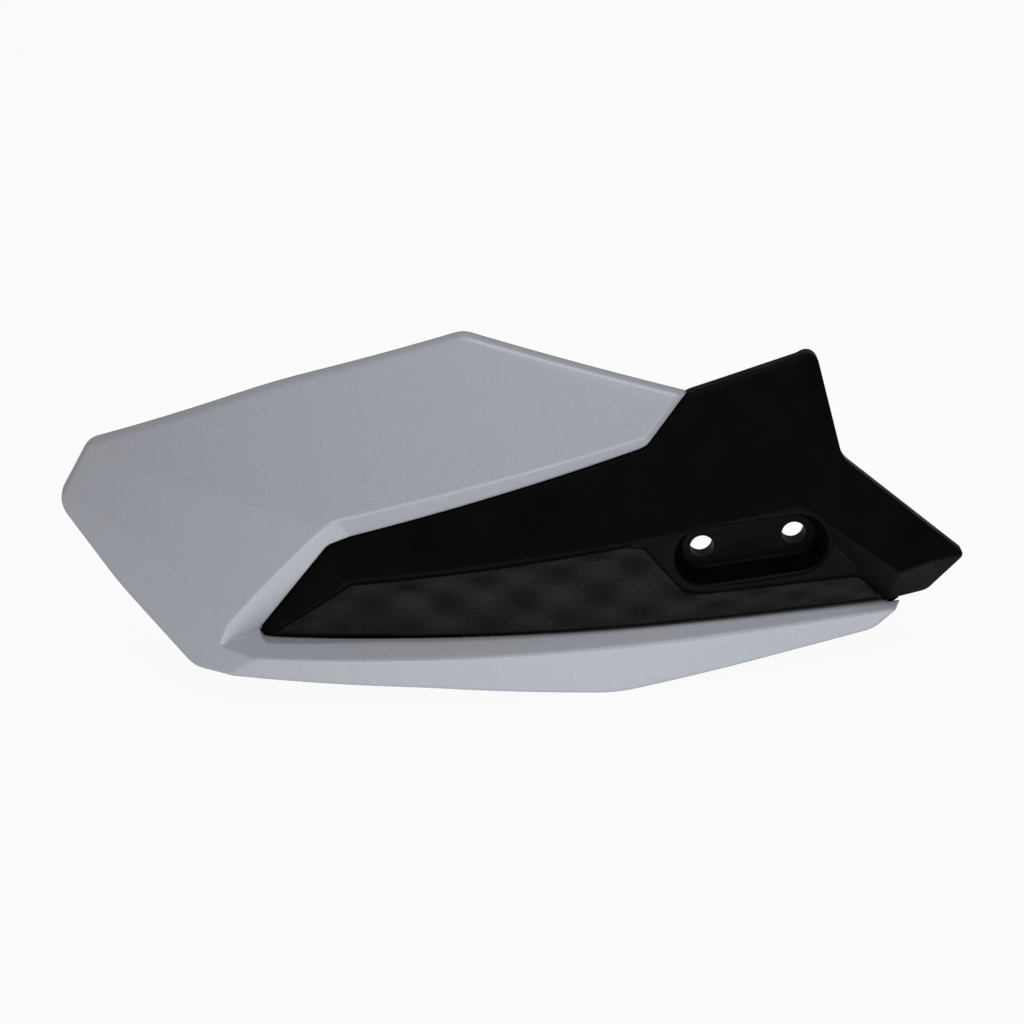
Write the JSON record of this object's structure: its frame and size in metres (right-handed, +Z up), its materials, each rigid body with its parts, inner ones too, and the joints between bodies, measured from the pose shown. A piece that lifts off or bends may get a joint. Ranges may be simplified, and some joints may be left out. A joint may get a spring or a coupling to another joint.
{
  "type": "motorcycle hand guard",
  "caption": "Right-hand motorcycle hand guard: a painted shell around a black moulded carrier, which bolts to a handlebar bracket through an oblong pocket in its dimpled panel.",
  "frame": {"origin": "between the bolt holes, on the rear seat that meets the bracket", "axes": "+X along the bolt holes towards the middle of the bike, +Y along the bolts towards the rider, +Z up"},
  "size_m": [0.2616, 0.0754, 0.1097],
  "materials": {
    "silver_paint": "silver metallic paint on a plastic moulding",
    "black_plastic": "black with a fine moulded grain",
    "screw_steel": "zinc plated"
  },
  "bodies": {
    "root": {"outer_shell": "silver_paint", "carrier": "black_plastic", "shell_screws": "screw_steel"}
  },
  "joints": []
}
